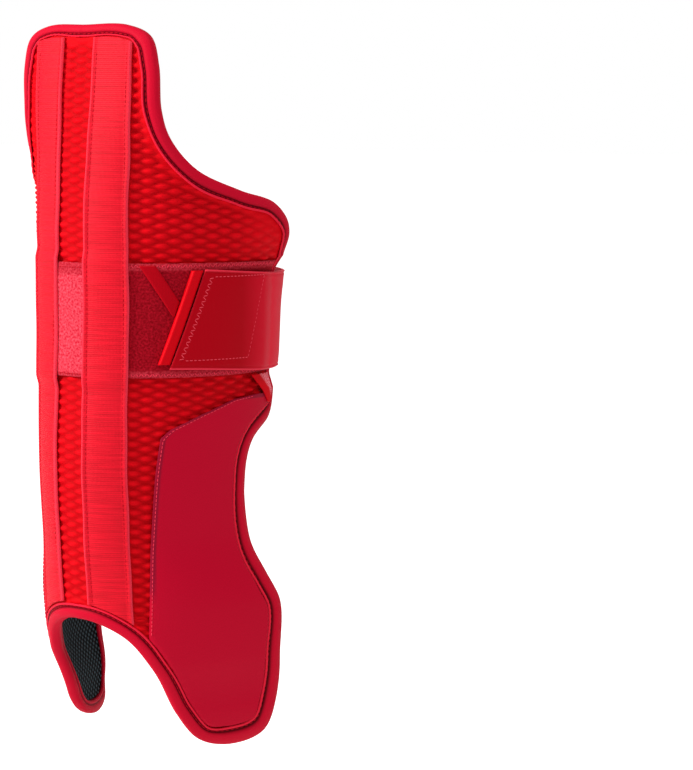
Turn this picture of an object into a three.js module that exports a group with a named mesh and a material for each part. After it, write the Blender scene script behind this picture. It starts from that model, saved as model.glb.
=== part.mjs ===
// A soft leg guard for a baseball catcher: one padded shell that wraps the shin, with a tall knee tab,
// two side wings drawn round the calf by one elastic strap, and two lobes that cover the ankle bones.
// Millimetres. The leg stands along +Z, the shin faces -Y, and +X is the side where the strap closes.
// The origin is the middle of the leg at the height of the strap.
import * as THREE from "three";

// Overall sizes of the guard.
const guardHeight = 410;
const strapHeight = 0.6024 * guardHeight; // middle of the strap above the tips of the ankle lobes
const calfHalfWidth = 62.7; // outside of the pad at the strap, across the leg
const calfHalfDepth = 72.8; // the same, from shin to calf
const wingReach = 141; // from the shin line to the edge of a wing, measured along the pad

// Layers of the shell, and the gap that keeps neighbouring layers apart.
const padThickness = 4.5;
const liningThickness = 1;
const layerGap = 0.5;
const seamGap = 0.5;

// Folded binding sewn round the whole edge.
const bindingLip = 9;
const bindingWall = 1.4;
const bindingRoll = 1.6; // how far the rolled edge stands above the pad
const bindingRidge = 1.3; // height of the stitched ridge along the lip
const bindingGroove = 0.7; // height left in the stitched groove beside the ridge
const edgeClearance = 0.8;

// Two elastic bands that run down the shin.
const bandWidth = 26;
const bandSpacing = 18.4;
const bandThickness = 2;
const bandEdge = 1.1; // thickness at the stitched edges of a band
const bandRise = 8; // length over which a band climbs onto the loop panel

// Loop panel that goes round the calf under the strap, with its sewn-on tape and gussets.
const loopPanelHeight = 63.5;
const loopPanelThickness = 1.2;
const tapeWidth = 9;
const tapeThickness = 0.6;
const tapeReach = 40; // shin line to the upper corner of the tape
const tapeLean = 0.64; // sideways run of the tape for each millimetre down
const gussetWidth = 19;
const gussetHeight = 17;
const gussetThickness = 0.7;

// Smooth panels over the ankles.
const anklePanelThickness = 1.2;

// Calf strap, its hook pad and the folded pull tab at its slanted end.
const strapWidth = 56;
const strapThickness = 2;
const strapSag = 4; // how far the strap drops on its way to the back
const strapEndReach = 66.5; // shin line to the middle of the slanted end
const strapEndLean = 20; // upper corner of the end further round than the lower one
const strapAnchorReach = 74; // shin line to the sewn end on the far wing
const strapOpenHalf = 42; // from the back of the calf to where the strap starts to climb a wing
const strapClimb = 22; // length of that climb
const hookPadLength = 44;
const hookPadThickness = 1.1;
const hookPadMargin = 4;
const pullTabWidth = 6.6;
const pullTabThickness = 3;
const pullTabLength = 52;
const pullTabRise = 1.8; // middle of the tab above the middle of the strap

// Fineness of the facets.
const columnsPerHalf = 7;
const topReach = 29.5; // shin line to the last station of the knee tab's top edge
const edgeStep = 16.8;
const edgeTurn = 0.65;
const leastRowGap = 8;
const shinBlend = 70; // height over which the rows settle to level below the top and above the arch
const ringSteps = 180;

// The form of the leg, from the knee down: height is a share of the guard's height above the lobe tips,
// front and halfDepth are shares of the calf's half depth, halfWidth of its half width.
const legForm = [
  { height: 1.0, front: 0.863, halfWidth: 2.46, halfDepth: 1.267 },
  { height: 0.898, front: 0.924, halfWidth: 1.77, halfDepth: 1.187 },
  { height: 0.812, front: 0.973, halfWidth: 1.246, halfDepth: 1.227 },
  { height: 0.754, front: 0.995, halfWidth: 1.17, halfDepth: 1.227 },
  { height: 0.72, front: 1.003, halfWidth: 1.13, halfDepth: 1.19 },
  { height: 0.68, front: 1.001, halfWidth: 1.031, halfDepth: 1.04 },
  { height: 0.602, front: 1.0, halfWidth: 1.0, halfDepth: 1.0 },
  { height: 0.524, front: 1.012, halfWidth: 0.974, halfDepth: 1.007 },
  { height: 0.402, front: 1.039, halfWidth: 0.923, halfDepth: 1.067 },
  { height: 0.305, front: 1.013, halfWidth: 0.954, halfDepth: 1.227 },
  { height: 0.202, front: 0.956, halfWidth: 1.123, halfDepth: 1.44 },
  { height: 0.134, front: 0.936, halfWidth: 1.138, halfDepth: 1.68 },
  { height: 0.061, front: 0.889, halfWidth: 1.277, halfDepth: 3.0 },
  { height: 0.0, front: 0.836, halfWidth: 1.169, halfDepth: 3.0 },
];

// Half of the cut of the guard laid out flat, from the top of the knee tab round the wing and the ankle
// lobe to the arch over the foot: reach is a share of the wing's reach, height of the guard's height.
const cutOutline = [
  { reach: 0.0, height: 1.0 },
  { reach: 0.206, height: 0.999 },
  { reach: 0.316, height: 0.983 },
  { reach: 0.356, height: 0.944 },
  { reach: 0.372, height: 0.885 },
  { reach: 0.411, height: 0.846 },
  { reach: 0.518, height: 0.806 },
  { reach: 0.716, height: 0.778 },
  { reach: 0.896, height: 0.761 },
  { reach: 0.998, height: 0.731 },
  { reach: 1.014, height: 0.69 },
  { reach: 1.006, height: 0.598 },
  { reach: 1.014, height: 0.51 },
  { reach: 0.98, height: 0.466 },
  { reach: 0.844, height: 0.428 },
  { reach: 0.803, height: 0.366 },
  { reach: 0.807, height: 0.29 },
  { reach: 0.862, height: 0.245 },
  { reach: 0.918, height: 0.202 },
  { reach: 0.904, height: 0.139 },
  { reach: 0.853, height: 0.061 },
  { reach: 0.784, height: 0.015 },
  { reach: 0.638, height: 0.0 },
  { reach: 0.489, height: 0.012 },
  { reach: 0.397, height: 0.054 },
  { reach: 0.319, height: 0.117 },
  { reach: 0.22, height: 0.162 },
  { reach: 0.099, height: 0.184 },
  { reach: 0.0, height: 0.189 },
];

// The front edge of an ankle panel, from its top corner at the wing down to the arch, in the same shares.
const anklePanelFront = [
  { height: 0.495, reach: 0.83 },
  { height: 0.491, reach: 0.705 },
  { height: 0.471, reach: 0.54 },
  { height: 0.454, reach: 0.42 },
  { height: 0.442, reach: 0.38 },
  { height: 0.392, reach: 0.36 },
  { height: 0.286, reach: 0.328 },
  { height: 0.17, reach: 0.305 },
];

// What follows from the sizes above.
const heightAt = (share) => share * guardHeight - strapHeight;
const stackDepth = padThickness + layerGap + liningThickness;
const padEdgeInset = bindingWall + edgeClearance;
const panelInset = bindingLip + 2 * seamGap;
const bandStart = bandSpacing / 2;
const skinLift = layerGap;
const anklePanelLift = 2.4 * layerGap;
const loopPanelTop = skinLift + loopPanelThickness;
const overPanelLift = loopPanelTop + layerGap;
const gussetLift = anklePanelLift + anklePanelThickness + layerGap;
const hookPadTop = overPanelLift + hookPadThickness;
const strapLiftAtHook = hookPadTop + layerGap;
const strapLiftAtBack = 0.8;
const strapLiftAtEdge = bindingRoll + 3 * layerGap;

const lerp = (a, b, t) => a + (b - a) * t;
const evenly = (from, to, count) => Array.from({ length: count + 1 }, (_, i) => lerp(from, to, i / count));
const smooth = (from, to, x) => {
  const t = Math.min(Math.max((x - from) / (to - from), 0), 1);
  return t * t * (3 - 2 * t);
};

// Value of one column of a table at a height, by a cubic that never overshoots its rows.
function tableAt(table, column, share) {
  const rows = table.slice().sort((p, q) => p.height - q.height);
  const last = rows.length - 1;
  const x = Math.min(Math.max(share, rows[0].height), rows[last].height);
  const widths = [];
  const slopes = [];
  for (let i = 0; i < last; i++) {
    widths.push(rows[i + 1].height - rows[i].height);
    slopes.push((rows[i + 1][column] - rows[i][column]) / widths[i]);
  }
  const tangentAt = (i) => {
    if (i === 0) return slopes[0];
    if (i === last) return slopes[last - 1];
    if (slopes[i - 1] * slopes[i] <= 0) return 0;
    const before = 2 * widths[i] + widths[i - 1];
    const after = widths[i] + 2 * widths[i - 1];
    return (before + after) / (before / slopes[i - 1] + after / slopes[i]);
  };
  let i = 0;
  while (i < last - 1 && x > rows[i + 1].height) i++;
  const t = (x - rows[i].height) / widths[i];
  const t2 = t * t;
  const t3 = t2 * t;
  return (
    (2 * t3 - 3 * t2 + 1) * rows[i][column] +
    (t3 - 2 * t2 + t) * widths[i] * tangentAt(i) +
    (3 * t2 - 2 * t3) * rows[i + 1][column] +
    (t3 - t2) * widths[i] * tangentAt(i + 1)
  );
}

// The outside of the pad at one height is an ellipse; its arc length is summed from the shin line.
const rings = new Map();
function ringAt(z) {
  const key = z.toFixed(4);
  if (rings.has(key)) return rings.get(key);
  const share = (z + strapHeight) / guardHeight;
  const ring = {
    front: -calfHalfDepth * tableAt(legForm, "front", share),
    halfWidth: calfHalfWidth * tableAt(legForm, "halfWidth", share),
    halfDepth: calfHalfDepth * tableAt(legForm, "halfDepth", share),
    lengths: [0],
  };
  const step = (2 * Math.PI) / ringSteps;
  for (let i = 1; i <= ringSteps; i++) {
    const middle = (i - 0.5) * step;
    const speed = Math.hypot(ring.halfWidth * Math.cos(middle), ring.halfDepth * Math.sin(middle));
    ring.lengths.push(ring.lengths[i - 1] + speed * step);
  }
  rings.set(key, ring);
  return ring;
}

const girthAt = (z) => ringAt(z).lengths[ringSteps];

// A point on the pad: reach along the surface from the shin line, height z, and lift off the surface.
function onLeg(reach, z, lift) {
  const ring = ringAt(z);
  const along = Math.abs(reach);
  let i = 1;
  while (i < ringSteps && ring.lengths[i] < along) i++;
  const span = ring.lengths[i] - ring.lengths[i - 1];
  const angle = ((i - 1 + (along - ring.lengths[i - 1]) / span) * 2 * Math.PI) / ringSteps;
  const side = reach < 0 ? -1 : 1;
  const outward = new THREE.Vector2(Math.sin(angle) / ring.halfWidth, -Math.cos(angle) / ring.halfDepth);
  outward.normalize();
  return new THREE.Vector3(
    side * (ring.halfWidth * Math.sin(angle) + lift * outward.x),
    ring.front + ring.halfDepth * (1 - Math.cos(angle)) + lift * outward.y,
    z,
  );
}

// The finished edge of the near half as a fine chain of points, each with the direction that points
// inwards, in the flat lay-out of reach and height.
function finishedEdge() {
  const half = cutOutline.map((p) => new THREE.Vector3(p.reach * wingReach, heightAt(p.height), 0));
  const mirrored = half.slice(1, -1).reverse();
  const loop = half.concat(mirrored.map((p) => new THREE.Vector3(-p.x, p.y, 0)));
  const curve = new THREE.CatmullRomCurve3(loop, true, "centripetal");
  const share = (half.length - 1) / loop.length;
  const count = 600;
  const chain = [];
  for (let i = 0; i <= count; i++) {
    const t = (i / count) * share;
    const p = curve.getPoint(t);
    const along = curve.getPoint(t + 1e-3).sub(curve.getPoint((t + 1 - 1e-3) % 1));
    const length = Math.hypot(along.x, along.y);
    chain.push({ reach: p.x, z: p.y, inReach: along.y / length, inZ: -along.x / length });
  }
  chain[0].reach = 0;
  chain[0].inReach = 0;
  chain[count].reach = 0;
  chain[count].inReach = 0;
  return chain;
}

const edge = finishedEdge();
const lowest = edge.reduce((best, p, i) => (p.z < edge[best].z ? i : best), 0);
const outerEdge = edge.slice(0, lowest + 1);
const innerEdge = edge.slice(lowest).reverse();
const archTop = innerEdge[0].z;

const inset = (p, distance) => ({
  reach: p.reach + distance * p.inReach,
  z: p.z + distance * p.inZ,
});

// The point of a chain at one height, where z falls along the chain.
function chainAt(chain, z) {
  let i = 1;
  while (i < chain.length - 1 && chain[i].z > z) i++;
  const a = chain[i - 1];
  const b = chain[i];
  const t = a.z === b.z ? 0 : Math.min(Math.max((a.z - z) / (a.z - b.z), 0), 1);
  const mix = (name) => a[name] + t * (b[name] - a[name]);
  return { reach: mix("reach"), z: mix("z"), inReach: mix("inReach"), inZ: mix("inZ") };
}

// Heights of a chain's points, close together where it turns and further apart where it runs straight.
function stationHeights(chain) {
  const heights = [];
  let spent = 0;
  for (let i = 1; i < chain.length - 1; i++) {
    const a = chain[i - 1];
    const b = chain[i];
    const run = Math.hypot(b.reach - a.reach, b.z - a.z);
    const turn = Math.hypot(b.inReach - a.inReach, b.inZ - a.inZ);
    spent += run / edgeStep + turn / edgeTurn;
    if (spent >= 1) {
      heights.push(b.z);
      spent = 0;
    }
  }
  return heights;
}

// Stations along the half edge, shared by every layer: across the top, down the outer side of the wing
// and the lobe, and down the inner side of the lobe from the arch. Rows pair the two sides by height.
const cornerStart = outerEdge.findIndex((p) => p.reach > topReach);
const flank = outerEdge.slice(cornerStart);
const tipHeight = outerEdge[outerEdge.length - 1].z + 0.3;

function pointAlongTop(reach) {
  let i = 1;
  while (outerEdge[i].reach < reach) i++;
  const a = outerEdge[i - 1];
  const b = outerEdge[i];
  const t = (reach - a.reach) / (b.reach - a.reach);
  const mix = (name) => a[name] + t * (b[name] - a[name]);
  return { reach, z: mix("z"), inReach: mix("inReach"), inZ: mix("inZ") };
}

const topStations = Array.from({ length: columnsPerHalf + 1 }, (_, j) =>
  j === 0 ? outerEdge[0] : pointAlongTop((j / columnsPerHalf) * flank[0].reach),
);

function rowHeights() {
  const wanted = stationHeights(flank)
    .concat(stationHeights(innerEdge))
    .filter((z) => z < flank[0].z - leastRowGap / 2 && z > tipHeight + leastRowGap / 3)
    .filter((z) => z > archTop + leastRowGap || z < archTop - 0.6)
    .concat([archTop])
    .sort((p, q) => q - p);
  const heights = [];
  let above = flank[0].z;
  for (const z of wanted) {
    const gap = z < archTop ? leastRowGap / 3 : leastRowGap;
    if (z === archTop || above - z >= gap) {
      heights.push(z);
      above = z;
    }
  }
  return heights.concat([tipHeight]);
}

// On closed rows the shin end of a row keeps clear of the binding at the top and over the arch.
function shinHeight(z) {
  const fromTop = bindingLip * smooth(flank[0].z - shinBlend, flank[0].z, z);
  const overArch = bindingLip * smooth(archTop + shinBlend, archTop, z);
  return z - fromTop + overArch;
}

const rows = rowHeights().map((z) => ({
  open: z <= archTop,
  outer: chainAt(flank, z),
  inner: z > archTop ? { reach: 0, z: shinHeight(z), inReach: 0, inZ: 0 } : chainAt(innerEdge, z),
}));
rows.find((row) => row.open).inner = { ...innerEdge[0] };

// Collects the triangles of one solid. Corners go anticlockwise seen from outside.
class Skin {
  constructor() {
    this.corners = [];
  }
  triangle(a, b, c) {
    for (const p of [a, b, c]) this.corners.push(p.x, p.y, p.z);
  }
  quad(a, b, c, d) {
    this.triangle(a, b, c);
    this.triangle(a, c, d);
  }
  // A slab between two grids of points, rows going down and columns going round to +X.
  slab(outside, inside) {
    const lastRow = outside.length - 1;
    const lastColumn = outside[0].length - 1;
    for (let k = 0; k < lastRow; k++) {
      for (let j = 0; j < lastColumn; j++) {
        this.quad(outside[k][j], outside[k + 1][j], outside[k + 1][j + 1], outside[k][j + 1]);
        this.quad(inside[k][j], inside[k][j + 1], inside[k + 1][j + 1], inside[k + 1][j]);
      }
    }
    const pair = (k, j) => [outside[k][j], inside[k][j]];
    for (let k = 0; k < lastRow; k++) {
      this.wall(pair(k + 1, 0), pair(k, 0));
      this.wall(pair(k, lastColumn), pair(k + 1, lastColumn));
    }
    for (let j = 0; j < lastColumn; j++) {
      this.wall(pair(lastRow, j + 1), pair(lastRow, j));
      this.wall(pair(0, j), pair(0, j + 1));
    }
    return this;
  }
  // One cell of a sheet, each corner a pair of an outside and an inside point.
  sheetQuad(a, b, c, d) {
    this.quad(a[0], b[0], c[0], d[0]);
    this.quad(a[1], d[1], c[1], b[1]);
  }
  wall(a, b) {
    this.quad(a[0], b[0], b[1], a[1]);
  }
  // The same triangles again on the other side of the shin line.
  withMirror() {
    const c = this.corners;
    const count = c.length;
    for (let i = 0; i < count; i += 9) {
      c.push(-c[i], c[i + 1], c[i + 2], -c[i + 6], c[i + 7], c[i + 8], -c[i + 3], c[i + 4], c[i + 5]);
    }
    return this;
  }
  mirrored() {
    const other = new Skin();
    other.corners = this.corners.slice();
    other.withMirror();
    other.corners = other.corners.slice(this.corners.length);
    return other;
  }
  geometry() {
    const made = new THREE.BufferGeometry();
    made.setAttribute("position", new THREE.Float32BufferAttribute(this.corners, 3));
    made.computeVertexNormals();
    return made;
  }
}

// One layer of the shell over the whole cut, between two lifts. A ribbon as wide as the binding's lip
// runs round the edge, and the rows and columns of the field fill what it encloses.
function shellLayer(outerLift, innerLift) {
  const skin = new Skin();
  const at = (p, distance) => {
    const spot = inset(p, distance);
    return [onLeg(spot.reach, spot.z, outerLift), onLeg(spot.reach, spot.z, innerLift)];
  };
  const between = (from, to) => {
    const a = inset(from, bindingLip);
    const b = inset(to, bindingLip);
    return evenly(0, 1, columnsPerHalf).map((t) => {
      const [reach, z] = [lerp(a.reach, b.reach, t), lerp(a.z, b.z, t)];
      return [onLeg(reach, z, outerLift), onLeg(reach, z, innerLift)];
    });
  };
  const field = [topStations.map((p) => at(p, bindingLip))];
  for (const row of rows) field.push(between(row.inner, row.outer));
  for (let k = 1; k < field.length; k++) {
    for (let j = 0; j < columnsPerHalf; j++) {
      skin.sheetQuad(field[k - 1][j], field[k][j], field[k][j + 1], field[k - 1][j + 1]);
    }
  }
  const halfLoop = edgeStations();
  for (let i = 1; i < halfLoop.length; i++) {
    const [a, b] = [halfLoop[i - 1], halfLoop[i]];
    skin.sheetQuad(at(a, bindingLip), at(b, bindingLip), at(b, padEdgeInset), at(a, padEdgeInset));
    skin.wall(at(a, padEdgeInset), at(b, padEdgeInset));
  }
  return skin.withMirror();
}

// Stations of the half edge in order, from the shin line over the top to the arch.
function edgeStations() {
  const down = rows.map((row) => row.outer);
  const up = rows.filter((row) => row.open).map((row) => row.inner);
  const tip = Array.from({ length: columnsPerHalf - 1 }, (_, j) => {
    const [a, b] = [down[down.length - 1], up[up.length - 1]];
    const t = (j + 1) / columnsPerHalf;
    const [p, q] = [inset(a, bindingLip), inset(b, bindingLip)];
    const lip = { reach: lerp(p.reach, q.reach, t), z: lerp(p.z, q.z, t) };
    const spot = { reach: lerp(a.reach, b.reach, t), z: lerp(a.z, b.z, t) };
    return { ...spot, inReach: (lip.reach - spot.reach) / bindingLip, inZ: (lip.z - spot.z) / bindingLip };
  });
  return [...topStations, ...down, ...tip, ...up.reverse()];
}

// Folded binding: a channel that grips the edge of the pad and the lining, with a rolled outer edge and
// a stitched groove and ridge along the lip that shows.
function bindingSkin() {
  const outside = layerGap;
  const insideFace = -stackDepth - layerGap;
  const section = [
    { inset: bindingLip, lift: outside },
    { inset: bindingLip - bindingWall, lift: outside + bindingRidge },
    { inset: bindingLip - 2 * bindingWall, lift: outside + bindingGroove },
    { inset: bindingLip * 0.5, lift: outside + bindingRoll },
    { inset: bindingLip * 0.15, lift: outside + bindingRoll },
    { inset: 0, lift: -stackDepth / 2 },
    { inset: bindingLip * 0.15, lift: insideFace - bindingRoll },
    { inset: bindingLip, lift: insideFace - bindingGroove },
    { inset: bindingLip, lift: insideFace },
    { inset: bindingWall, lift: insideFace },
    { inset: bindingWall, lift: outside },
  ];
  const loops = edgeStations().map((p) =>
    section.map((s) => {
      const spot = inset(p, s.inset);
      return onLeg(spot.reach, spot.z, s.lift);
    }),
  );
  const skin = new Skin();
  for (let i = 1; i < loops.length; i++) {
    for (let k = 0; k < section.length; k++) {
      const after = (k + 1) % section.length;
      const [a, b] = [loops[i - 1], loops[i]];
      if (after === 0) skin.quad(b[k], b[after], a[after], a[k]);
      else skin.quad(a[k], b[k], b[after], a[after]);
    }
  }
  return skin.withMirror();
}

// Limits of what lies inside the binding's lip: along the top and the outer side, and along the arch.
const insideLip = (stations) => stations.map((p) => inset(p, panelInset));
const outerLimit = insideLip([...topStations, ...rows.map((row) => row.outer)]);
const archLimit = insideLip(rows.filter((row) => row.open).map((row) => row.inner));

function limitHeight(limit, reach) {
  let i = 1;
  while (i < limit.length - 1 && limit[i].reach < reach) i++;
  const [a, b] = [limit[i - 1], limit[i]];
  return lerp(a.z, b.z, (reach - a.reach) / (b.reach - a.reach));
}

function limitReach(limit, z) {
  let i = 1;
  while (i < limit.length - 1 && limit[i].z > z) i++;
  const [a, b] = [limit[i - 1], limit[i]];
  return lerp(a.reach, b.reach, (z - a.z) / (b.z - a.z));
}

const loopTop = loopPanelHeight / 2;
const loopBottom = -loopPanelHeight / 2;

// An elastic band of the near side: thin at its stitched edges and raised where it crosses the panel.
function bandSkin() {
  const profile = [
    { across: 0, thickness: bandEdge },
    { across: 0.14, thickness: bandThickness },
    { across: 0.5, thickness: bandThickness },
    { across: 0.86, thickness: bandThickness },
    { across: 1, thickness: bandEdge },
  ];
  const risen = [loopTop + 1, loopBottom - 1];
  const flat = [loopTop + bandRise, loopBottom - bandRise];
  const lines = [];
  const addLine = (heightOf) => {
    const line = profile.map((p) => {
      const reach = bandStart + p.across * bandWidth;
      const z = heightOf(reach);
      const over = smooth(flat[0], risen[0], z) * smooth(flat[1], risen[1], z);
      return { reach, z, base: lerp(skinLift, overPanelLift, over), thickness: p.thickness };
    });
    lines.push(line);
  };
  const above = 6;
  const across = 4;
  const below = 11;
  for (let i = 0; i <= above; i++) addLine((r) => lerp(limitHeight(outerLimit, r), flat[0], i / above));
  for (let i = 0; i <= across; i++) addLine(() => lerp(risen[0], risen[1], i / across));
  for (let i = 0; i <= below; i++) addLine((r) => lerp(flat[1], limitHeight(archLimit, r), i / below));
  const outside = lines.map((l) => l.map((p) => onLeg(p.reach, p.z, p.base + p.thickness)));
  const inside = lines.map((l) => l.map((p) => onLeg(p.reach, p.z, p.base)));
  return new Skin().slab(outside, inside);
}

// A thin patch over a four-sided area given by its left and right edges at each height.
function patchSkin(heights, leftAt, rightAt, columns, base, thickness) {
  const lines = heights.map((z) =>
    Array.from({ length: columns + 1 }, (_, j) => ({
      reach: lerp(leftAt(z), rightAt(z), j / columns),
      z,
    })),
  );
  const raise = (lift) => lines.map((l) => l.map((p) => onLeg(p.reach, p.z, lift)));
  return new Skin().slab(raise(base + thickness), raise(base));
}

const lipReach = (z) => limitReach(outerLimit, z);

function loopPanelSkin() {
  const heights = evenly(loopTop, loopBottom, 3);
  return patchSkin(heights, (z) => -lipReach(z), lipReach, 26, skinLift, loopPanelThickness);
}

// Slanted line of the strap's free end.
const strapEndAt = (z) => strapEndReach + (z / strapWidth) * strapEndLean;

// Diagonal tape on the loop panel, from its upper edge to the pull tab.
function tapeSkin() {
  const tabEdge = (z) => strapEndAt(z) - pullTabWidth - 2 * seamGap;
  const leftLine = (z) => tapeReach + (loopTop - z) * tapeLean;
  let foot = loopTop;
  while (leftLine(foot) < tabEdge(foot) - 1 && foot > loopBottom) foot -= 0.25;
  const rightLine = (z) => Math.min(leftLine(z) + tapeWidth, tabEdge(z));
  return patchSkin(evenly(loopTop - 1, foot, 8), leftLine, rightLine, 2, overPanelLift, tapeThickness);
}

// Three-cornered gusset below the strap, its point towards the ankle.
function gussetSkin() {
  const top = loopBottom - seamGap - 0.5;
  const right = (z) => lipReach(z) - seamGap;
  const left = (z) => {
    const t = (top - z) / gussetHeight;
    return lerp(right(top) - gussetWidth, right(top - gussetHeight) - 1.5, t);
  };
  return patchSkin(evenly(top, top - gussetHeight, 4), left, right, 2, gussetLift, gussetThickness);
}

// Smooth panel over one ankle, from below the strap to the tip of the lobe.
function anklePanelSkin() {
  const topShare = anklePanelFront[0].height;
  const top = heightAt(topShare);
  const lowestLip = outerLimit[outerLimit.length - 1].z + seamGap;
  const front = (z) => {
    const drawn = wingReach * tableAt(anklePanelFront, "reach", (z + strapHeight) / guardHeight);
    return z < archLimit[0].z ? Math.max(drawn, limitReach(archLimit, z)) : drawn;
  };
  const heights = [top, top - 4, top - 9, top - 16, top - 24];
  const rest = evenly(top - 34, lowestLip, 12);
  return patchSkin(heights.concat(rest), front, lipReach, 5, anklePanelLift, anklePanelThickness);
}

// The calf strap: from its slanted end on the near wing, round the open back, to the far wing.
const strapMiddle = (reach) => 1 - strapSag * smooth(strapEndReach - 10, wingReach, reach);
const strapLift = (reach, z) => {
  const pastHook = strapEndReach + hookPadLength + 8;
  const fromBack = Math.abs(reach - girthAt(z) / 2);
  const climbed = smooth(strapOpenHalf, strapOpenHalf + strapClimb, fromBack);
  const overWing = lerp(strapLiftAtBack, strapLiftAtEdge, climbed);
  return lerp(strapLiftAtHook, overWing, smooth(pastHook, pastHook + 14, reach));
};

function strapSkin() {
  const steps = 40;
  const across = evenly(strapWidth / 2, -strapWidth / 2, 2);
  const spot = (offset, t) => {
    const start = strapEndAt(strapMiddle(strapEndReach) + offset);
    const girth = girthAt(strapMiddle(wingReach) + offset);
    const reach = lerp(start, girth - strapAnchorReach, t);
    return { reach, z: strapMiddle(reach) + offset };
  };
  const raise = (extra) =>
    across.map((offset) =>
      Array.from({ length: steps + 1 }, (_, j) => {
        const p = spot(offset, j / steps);
        return onLeg(p.reach, p.z, strapLift(p.reach, p.z) + extra);
      }),
    );
  return new Skin().slab(raise(strapThickness), raise(0));
}

function hookPadSkin() {
  const half = strapWidth / 2 - hookPadMargin;
  const left = (z) => strapEndAt(z) + 1.5;
  const lean = strapEndLean * 0.55;
  const right = (z) => strapEndReach + hookPadLength + (z / strapWidth) * lean;
  return patchSkin(evenly(half, -half - 1, 4), left, right, 6, overPanelLift, hookPadThickness);
}

// Folded pull tab along the slanted end of the strap.
function pullTabSkin() {
  const heights = evenly(pullTabRise + pullTabLength / 2, pullTabRise - pullTabLength / 2, 6);
  const right = (z) => strapEndAt(z) - seamGap;
  return patchSkin(heights, (z) => right(z) - pullTabWidth, right, 2, overPanelLift, pullTabThickness);
}

function cloth(name, colour, roughness) {
  return new THREE.MeshStandardMaterial({ name, color: colour, roughness, metalness: 0 });
}

const meshCloth = cloth("red padded mesh", 0xd8101c, 0.85);
const liningCloth = cloth("black knitted lining", 0x15191c, 0.9);
const bindingCloth = cloth("red folded binding", 0xc40f24, 0.55);
const elasticCloth = cloth("red ribbed elastic", 0xe51b2b, 0.75);
const loopCloth = cloth("dark red brushed loop", 0xa50b28, 0.95);
const tapeCloth = cloth("bright red smooth tape", 0xd00a20, 0.6);
const ankleSkin = cloth("burgundy coated panel", 0xa80022, 0.42);
const strapCloth = cloth("crimson strap", 0xb0101f, 0.5);

const guard = new THREE.Group();
guard.name = "leg_guard";

function add(name, skin, material) {
  const mesh = new THREE.Mesh(skin.geometry(), material);
  mesh.name = name;
  guard.add(mesh);
}

add("pad_shell", shellLayer(0, -padThickness), meshCloth);
add("inner_lining", shellLayer(-padThickness - layerGap, -stackDepth), liningCloth);
add("edge_binding", bindingSkin(), bindingCloth);
add("shin_band_near", bandSkin(), elasticCloth);
add("shin_band_far", bandSkin().mirrored(), elasticCloth);
add("loop_panel", loopPanelSkin(), loopCloth);
add("diagonal_tape", tapeSkin(), tapeCloth);
add("wing_gusset_near", gussetSkin(), tapeCloth);
add("wing_gusset_far", gussetSkin().mirrored(), tapeCloth);
add("ankle_panel_near", anklePanelSkin(), ankleSkin);
add("ankle_panel_far", anklePanelSkin().mirrored(), ankleSkin);
add("calf_strap", strapSkin(), strapCloth);
add("hook_pad", hookPadSkin(), loopCloth);
add("pull_tab", pullTabSkin(), tapeCloth);

export default guard;
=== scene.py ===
# %% [markdown]
# # A soft leg guard, dressed in Blender
# The guard is a padded shell that wraps a catcher's shin: a knee tab, two wings drawn round the calf
# by an elastic strap, and two lobes over the ankle bones. The imported solids give sizes and places.
# This script makes every piece again with its cloth, seams and stitches.

# %% Imported solids, and the empties that carry the pieces
import math

import bpy
import numpy as np
from mathutils import Matrix, Vector


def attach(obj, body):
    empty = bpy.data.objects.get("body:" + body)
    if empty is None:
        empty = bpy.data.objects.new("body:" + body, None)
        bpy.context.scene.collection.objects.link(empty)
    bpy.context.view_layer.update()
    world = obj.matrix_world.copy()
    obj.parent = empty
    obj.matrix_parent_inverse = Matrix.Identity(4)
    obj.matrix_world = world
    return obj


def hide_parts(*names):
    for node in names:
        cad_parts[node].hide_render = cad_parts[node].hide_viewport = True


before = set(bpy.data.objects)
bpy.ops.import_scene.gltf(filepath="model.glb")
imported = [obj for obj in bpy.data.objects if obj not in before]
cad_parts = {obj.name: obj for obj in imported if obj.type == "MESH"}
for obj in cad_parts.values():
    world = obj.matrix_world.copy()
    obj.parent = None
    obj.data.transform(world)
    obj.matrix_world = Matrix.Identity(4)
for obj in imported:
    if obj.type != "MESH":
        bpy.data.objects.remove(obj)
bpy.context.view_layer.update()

# %% [markdown]
# ## The camera
# The camera comes first, because it decides how fine each piece has to be. It could be placed by eye,
# but then no size could be compared, so it is given by its angles, its distance and its focal length
# in pixels. The guard stands left of the middle: the camera is aimed at it and then turned right.

# %% Camera
mm = 0.001
camera_azimuth = math.radians(41)
camera_elevation = math.radians(5.5)
camera_distance = 1.605
focal_pixels = 2767
frame_long_side = 770
guard_left_of_middle = 188.6 / focal_pixels
aim = Vector((0, 0, -42.1 * mm))

back = Vector((math.sin(camera_azimuth) * math.cos(camera_elevation),
               -math.cos(camera_azimuth) * math.cos(camera_elevation),
               math.sin(camera_elevation)))
right = Vector((math.cos(camera_azimuth), math.sin(camera_azimuth), 0))
up = back.cross(right)
turn = math.atan(guard_left_of_middle)
view_back = back * math.cos(turn) - right * math.sin(turn)
view_right = right * math.cos(turn) + back * math.sin(turn)

camera = bpy.data.objects.new("camera", bpy.data.cameras.new("camera"))
camera.data.lens = focal_pixels / frame_long_side * camera.data.sensor_width
camera.matrix_world = Matrix.Translation(aim + back * camera_distance) @ Matrix(
    (view_right, up, view_back)).transposed().to_4x4()
bpy.context.scene.collection.objects.link(camera)
bpy.context.scene.camera = camera
# Standard keeps the dyes as bright as they are named. The default view would grey them.
bpy.context.scene.view_settings.view_transform = "Standard"
print("lens", round(camera.data.lens, 1), "mm")

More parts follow.
